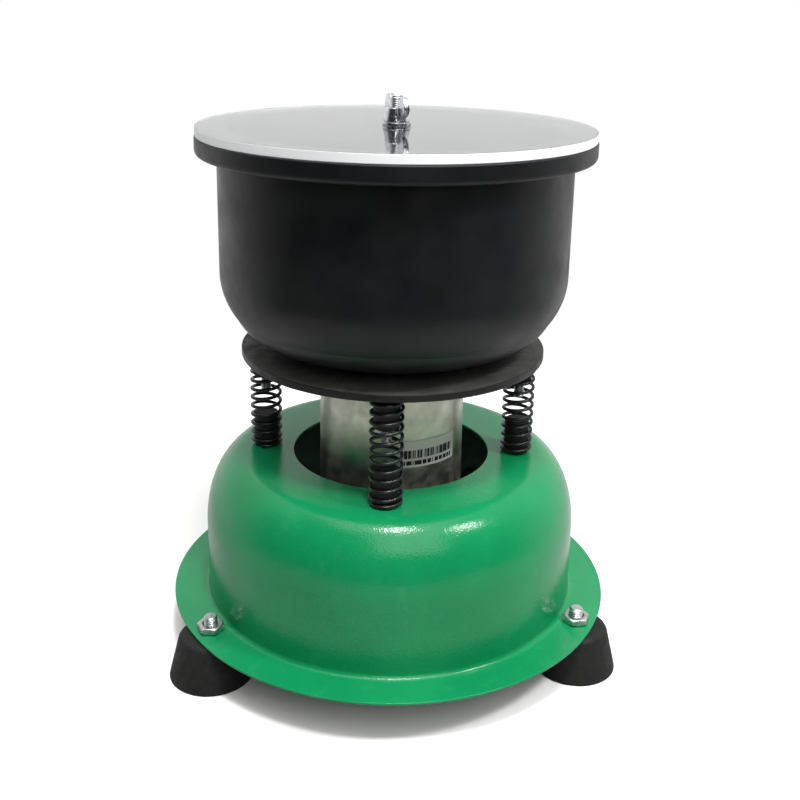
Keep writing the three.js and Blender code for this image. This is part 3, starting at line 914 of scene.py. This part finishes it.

# %% [markdown]
# ## Springs
# A compression spring is wire wound on a rod, with one turn nearly closed at each end. Its wire is a
# circle carried along a helix that climbs slowly in the end turns and evenly between them. A Screw
# modifier has only one pitch, so the helix is worked out here. Each spring joins the base to the shaking
# unit, but here it rides on neither body and stays as it is made.

# %% Springs
spring_low, spring_high = height("spring_front")
COIL_R = 8.7
WIRE_R = 1.05
COIL_TURNS = 12
END_PITCH = 3.0
COIL_STARTS = {"right": 68, "back": 150, "left": 259, "front": 209}


def coil(start, steps_per_turn=44, around=14):
    """Wire on a helix: the circle's centre is (R cos a, R sin a, z), and its point at angle b lies
    WIRE_R cos b outwards and WIRE_R sin b along the direction square to both outwards and the wire."""
    turn = np.linspace(0, COIL_TURNS, COIL_TURNS * steps_per_turn + 1)
    pitch = (spring_high - spring_low - 2 * WIRE_R - 2 * END_PITCH) / (COIL_TURNS - 2)
    ends = np.minimum(turn, 1) + np.maximum(turn - COIL_TURNS + 1, 0)
    z = spring_low + WIRE_R + ends * END_PITCH + (turn - ends) * pitch
    a = math.radians(start) + turn * TURN
    out = np.stack([np.cos(a), np.sin(a), 0 * a], -1)
    path = out * COIL_R + np.stack([0 * a, 0 * a, z], -1)
    along = np.gradient(path, axis=0)
    along /= np.linalg.norm(along, axis=1)[:, None]
    square = np.cross(along, out)
    radius = np.pad(np.full(len(turn), WIRE_R), 1, constant_values=0.8 * WIRE_R)
    radius = np.pad(radius, 1)[:, None, None]
    path, out, square = (np.pad(line, ((2, 2), (0, 0)), "edge") for line in (path, out, square))
    b = np.linspace(0, TURN, around, endpoint=False)[None, :, None]
    points = path[:, None] + radius * (np.cos(b) * out[:, None] + np.sin(b) * square[:, None])
    return points.reshape(-1, 3), faces_of(len(path), around, False, True)


for side, turn in SPRING_TURNS.items():
    centre = ring_place(SPRING_R, turn)
    shape = at(coil(COIL_STARTS[side]), centre)
    thing = piece("coil_" + side, shape, spring_black, "black_spring_steel", None, "spring_" + side)
    head = (*centre * MM, (spring_high - END_PITCH) * MM)
    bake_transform(thing)

# %% [markdown]
# ## Posts and studs
# Rubber posts locate each spring, one on the base and one under the plate. The lower post is a plug
# with a socket for its screw, and the upper one is a sleeve on a threaded stud, which shows below it
# as a short grey end. All are turned outlines, a little smaller than the coil's inside.

# %% Posts and studs
POST_R = 7.4
SOCKET_DEEP = 12.3
SLEEVE_R = 3.3
M6_R, M6_PITCH = 3, 1.0
for side, turn in SPRING_TURNS.items():
    centre = ring_place(SPRING_R, turn)
    low, high = height("lower_post_" + side)
    socket = low + SOCKET_DEEP
    post = [[POST_R, low], [POST_R, high], [0, high], [0, socket], [SCREW_HOLE_R, socket]]
    post = round_corners([[SCREW_HOLE_R, low], *post], [0, 0.4, 1.2, 0, 0, 0])
    shape = at(turned(post, 64), centre)
    piece("base_post_" + side, shape, post_rubber, "black_post_rubber", "base", "lower_post_" + side)

    upper = "upper_post_" + side
    shape = at(washer(SLEEVE_R, POST_R, *height(upper), 0.6), centre)
    piece("plate_post_" + side, shape, post_rubber, "black_post_rubber", SHAKER, upper)

    upper = "upper_stud_" + side
    shape = at(thread(M6_R, M6_PITCH, *height(upper), turn / 360), centre)
    piece("plate_stud_" + side, shape, zinc, ZINC_SLOT, SHAKER, upper)

# %% [markdown]
# ## Shaking plate
# The plate is a disc cut from rolled steel and painted black. It is a turned outline with a worn
# edge, rounded by 0.6 mm so that it catches a thin line of light.

# %% Plate
PLATE_R = 90.6
PLATE_SLOT = "black_painted_plate"
plate_section = ring_section(BOLT_HOLE_R, PLATE_R, plate_low, plate_top)
shape = at(turned(split_long(round_corners(plate_section, 0.6), 6.0), 180), axis)
plate = piece("shaking_plate", shape, plate_paint, PLATE_SLOT, SHAKER, "vibration_plate")
# The plate's flat top takes the paler black: painted light.
recoat(plate, painted_light_top, lambda radius, out, up: (up > 0.9) & (radius < PLATE_R - 0.5))

# %% [markdown]
# ## Tack welds
# The motor's tube is tacked to the plate at two places, and the paint has run down over each weld. A
# weld is a lump without corners, so it is an ellipsoid with a small wave in it.


# %% Tack welds
WELD_SIZE = (2.2, 3.0, 6.4)
WELD_R, WELD_DROP = 45.4, 6.2
WELD_TURNS = (-33, 147)


def lump(size, steps=24):
    """A blob: an ellipsoid with points size * (cos u cos v, cos u sin v, sin u), a little uneven."""
    u = np.linspace(-math.pi / 2, math.pi / 2, steps // 2)[:, None]
    v = np.linspace(0, TURN, steps, endpoint=False)[None, :]
    uneven = 1 + 0.12 * np.sin(3 * v + 2 * u) * np.cos(u)
    points = np.stack([np.cos(u) * np.cos(v), np.cos(u) * np.sin(v), np.sin(u) + 0 * v], -1)
    points = points * uneven[..., None] * np.array(size)
    return points.reshape(-1, 3), faces_of(steps // 2, steps, False, True)


blob = lump(WELD_SIZE)
welds = [at(blob, ring_place(WELD_R, turn), turn, plate_low - WELD_DROP) for turn in WELD_TURNS]
piece("tack_welds", together(*welds), plate_paint, PLATE_SLOT, SHAKER)

# %% [markdown]
# ## Motor tube and its tag
# The tube is the motor's housing, cut from drawn pipe. The paper tag lies on its curve, 0.4 mm proud,
# so that its edge shows. Its UV map is how far round the tube and how far up it a point lies.

# %% Motor tube
TUBE_R = 43.8
TUBE_WALL = 1.6
tube = round_corners(ring_section(TUBE_R - TUBE_WALL, TUBE_R, *height("motor_tube")), 0.4)
shape = at(turned(split_long(tube, 5.0), 160), axis)
piece("motor_housing", shape, tube_zinc, "galvanised_tube", SHAKER, "motor_tube")

# %% Tag
tag_low, tag_high = height("motor_label")
TAG_OUT, TAG_IN = TUBE_R + 0.4, TUBE_R + 0.05
TAG_FROM, TAG_TO = -79.6, -31.7


def tag():
    """Two curved faces and the four thin sides between them."""
    across, up = 48, 10
    s = np.linspace(0, 1, across)
    t = np.linspace(0, 1, up)
    a = np.radians(TAG_FROM + (TAG_TO - TAG_FROM) * s)[None, :]
    z = (tag_low + (tag_high - tag_low) * t)[:, None]
    sheets = [
        np.stack(np.broadcast_arrays(r * np.cos(a), r * np.sin(a), z), -1).reshape(-1, 3)
        for r in (TAG_OUT, TAG_IN)
    ]
    face = faces_of(up, across, False, False)
    count = up * across
    grid = np.arange(count).reshape(up, across)
    edge = np.concatenate([grid[0, :-1], grid[:-1, -1], grid[-1, :0:-1], grid[:0:-1, 0]])
    following = np.roll(edge, -1)
    sides = np.stack([edge, edge + count, following + count, following], -1)
    return np.concatenate(sheets), np.concatenate([face, face[:, ::-1] + count, sides])


label = piece("motor_tag", at(tag(), axis), paper_label, "label_paper", SHAKER, "motor_label")
print_map = label.data.uv_layers.new(name="print")
co = values(label.data.vertices, "co", 3) / MM - np.array([axis[0], axis[1], 0])
corner = values(label.data.loops, "vertex_index", 1, int)
round_tube = (np.degrees(np.arctan2(co[:, 1], co[:, 0])) - TAG_FROM) / (TAG_TO - TAG_FROM)
up_tube = (co[:, 2] - tag_low) / (tag_high - tag_low)
print_map.data.foreach_set("uv", np.stack([round_tube, up_tube], -1)[corner].ravel())

# %% [markdown]
# ## Bowl
# The bowl is moulded in one piece: a rounded trough round a hollow centre column, and a thick band
# for a rim. Its section runs up the outside, over the rim, down into the trough, up the column, and
# back down inside the column to the foot. A Screw modifier on a drawn curve would do as well, but
# here each radius is a number.

# %% Bowl
BOWL_R = 102.4
BOWL_FOOT_R = 50.0
BOWL_WALL = 6.0
BOTTOM_RISE = 46.0
RIM_R = 114.6
BAND = 10.5
COLUMN_TOP = height("bowl_washer")[0] - 0.3
CLAMP_THICK = 6.0

run = BOWL_R - BOWL_FOOT_R
inner_r = BOWL_R - BOWL_WALL
trough = bowl_low + BOWL_WALL
bottom = arc(BOWL_FOOT_R, bowl_low + BOTTOM_RISE, run, BOTTOM_RISE, -84, 0, 26)
hollow = arc(inner_r - run / 2, trough + run / 2, run / 2, run / 2, 0, -90, 20)
rim = [[BOWL_R, rim_top - BAND], [RIM_R, rim_top - BAND], [RIM_R, rim_top], [inner_r, rim_top]]
under = COLUMN_TOP - CLAMP_THICK
column = [[37.0, trough], [14.0, COLUMN_TOP], [BOLT_HOLE_R, COLUMN_TOP]]
column += [[BOLT_HOLE_R, under], [8.0, under], [31.0, trough + BOWL_WALL]]
bowl_foot = [[43.0, bowl_low], [BOWL_FOOT_R, bowl_low]]
outline = np.concatenate([bowl_foot, bottom, rim, hollow, column])
reach = [0.8, 0.8, *[0] * len(bottom), 1.6, 3.4, 1.0, 1.4, *[0] * len(hollow), 9, 2.5, 0.5, 0.5, 1.5, 3]
shape = at(turned(split_long(round_corners(outline, reach, 6), 4.0), 200), axis)
piece("moulded_bowl", shape, satin, "black_bowl_plastic", SHAKER, "bowl")

# %% [markdown]
# ## Centre stud and its fixings
# One M8 stud is bolted to the plate, clamps the bowl by its column, and holds the lid down with a
# wing nut. The thread, nut and washer made for the feet serve again with other sizes.

# %% Stud, nuts and washer
COLUMN_NUT = 13
stud_low, stud_high = height("centre_stud")
shape = at(thread(M8_R, M8_PITCH, stud_low, stud_high, 0.3, around=24, along=6), axis)
piece("threaded_stud", shape, bright, ZINC_SLOT, SHAKER, "centre_stud")
for name, node, turn in (("plate_nut", "stud_jam_nut", 8), ("column_nut", "bowl_nut", 20)):
    shape = at(nut(COLUMN_NUT, NUT_BORE_R, *height(node), turn), axis)
    piece(name, shape, zinc, ZINC_SLOT, SHAKER, node)
shape = at(washer(BOLT_HOLE_R, 12, *height("bowl_washer")), axis)
piece("column_washer", shape, zinc, ZINC_SLOT, SHAKER, "bowl_washer")

# %% [markdown]
# ## Lid and its washer
# The lid is a disc sawn from 5 mm acrylic, with a small chamfer on both edges and a hole for the
# stud. It is a wide washer, so the washer's formula makes it, and then the small one on top of it.

# %% Lid
LID_R = 114.1
shape = at(washer(BOLT_HOLE_R, LID_R, lid_low, lid_top, 0.35, steps=240), axis)
lid = piece("acrylic_lid", shape, acrylic, "clear_acrylic", "lid", "lid")
recoat(lid, sawn, lambda radius, out, up: (radius > LID_R - 1) & (np.abs(up) < 0.8))

# %% Wing washer
shape = at(washer(BOLT_HOLE_R, 8.3, *height("wing_washer")), axis)
piece("lid_washer", shape, bright, ZINC_SLOT, "wing_washer", "wing_washer")

# %% [markdown]
# ## Wing nut
# A wing nut is cast in one: a tapered hub and two wings that leave its sides and spread upwards. The
# hub and the two thick wing outlines are joined by a voxel remesh, and a smoothing pass rounds every
# edge and fills every corner as casting does.

# %% Wing nut
wing_low, wing_high = height("wing_nut")
WING_TURN = 109
WING_REACH = 19.0
WING_THICK = 3.2
HUB_LOW_R, HUB_HIGH_R = 8.0, 6.2
VOXEL = 0.35
hub_high = wing_low + 8


def wing(steps=14):
    """A flat outline in the XZ plane: the foot runs out to a round tip and back to the hub's top. It
    is laid at half the thickness on each side, and thin sides join the two outlines."""
    tip = (WING_REACH - HUB_HIGH_R) / 2
    low = [[5.0, wing_low + 1], [7.0, wing_low + 1], [WING_REACH - tip / 3, wing_high - 1.6 * tip]]
    top = arc(WING_REACH - tip, wing_high - tip, tip, tip, -20, 150, steps)
    outline = np.concatenate([low, top, [[5.2, hub_high], [5.0, hub_high]]])
    count = len(outline)
    sheets = [
        np.stack([outline[:, 0], np.full(count, y), outline[:, 1]], -1)
        for y in (-WING_THICK / 2, WING_THICK / 2)
    ]
    ring = np.arange(count)
    following = np.roll(ring, -1)
    sides = np.stack([ring, ring + count, following + count, following], -1)
    return np.concatenate(sheets), [ring[::-1], ring + count, *sides]


hub = [[BOLT_HOLE_R, wing_low], [HUB_LOW_R, wing_low], [HUB_HIGH_R, hub_high], [BOLT_HOLE_R, hub_high]]
hub = turned(round_corners(hub, 0.4), 64)
half, half_faces = wing()
other = half * [-1, -1, 1]
shape = at(together(hub, (half, half_faces), (other, half_faces)), axis, WING_TURN)
casting = (
    ("REMESH", {"mode": "VOXEL", "voxel_size": VOXEL * MM}),
    ("SMOOTH", {"factor": 0.5, "iterations": 5}),
)
piece("wing_nut_casting", shape, bright, ZINC_SLOT, "wing_nut", "wing_nut", sharp=180, modifiers=casting)

# %% [markdown]
# ## Cord outlet
# A rubber grommet lines a hole in the back of the base, for the cord that isn't made here. Its neck
# sits in the sheet and a lip holds it on each side, so one turned outline is laid on its side.

# %% Cord outlet
wall_out, wall_in = WALL_R + 0.3, WALL_R - SHEET - 0.3
grommet = [
    [3.6, wall_in - 2.5],
    [8.0, wall_in - 2.5],
    [8.0, wall_in - 0.3],
    [5.7, wall_in - 0.3],
    [5.7, wall_out],
    [9.0, wall_out],
    [8.2, wall_out + 2.5],
    [3.6, wall_out + 2.5],
]
reach = [0.5, 0.8, 0.3, 0.3, 0.3, 0.5, 1.0, 0.7]
shape = outward(turned(round_corners(grommet, reach), 64), OUTLET_TURN, OUTLET_Z)
piece("cord_grommet", shape, rubber, "black_rubber", "base", "cord_outlet")

# %% [markdown]
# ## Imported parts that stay
# The screws under the base's top and the motor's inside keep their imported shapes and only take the
# finishes made above.

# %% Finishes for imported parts
KEPT = {
    "lower_screw_": zinc,
    "motor_bracket_": cast,
    "motor_cover": cast,
    "bearing_": ground,
    "rotor_shaft": ground,
    "stator": iron,
    "rotor_core": iron,
    "eccentric_": iron,
    "winding_": copper,
}
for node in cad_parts:
    for start, material in KEPT.items():
        if node.startswith(start):
            thing = bpy.data.objects[node]
            thing.data.materials.clear()
            thing.data.materials.append(material)
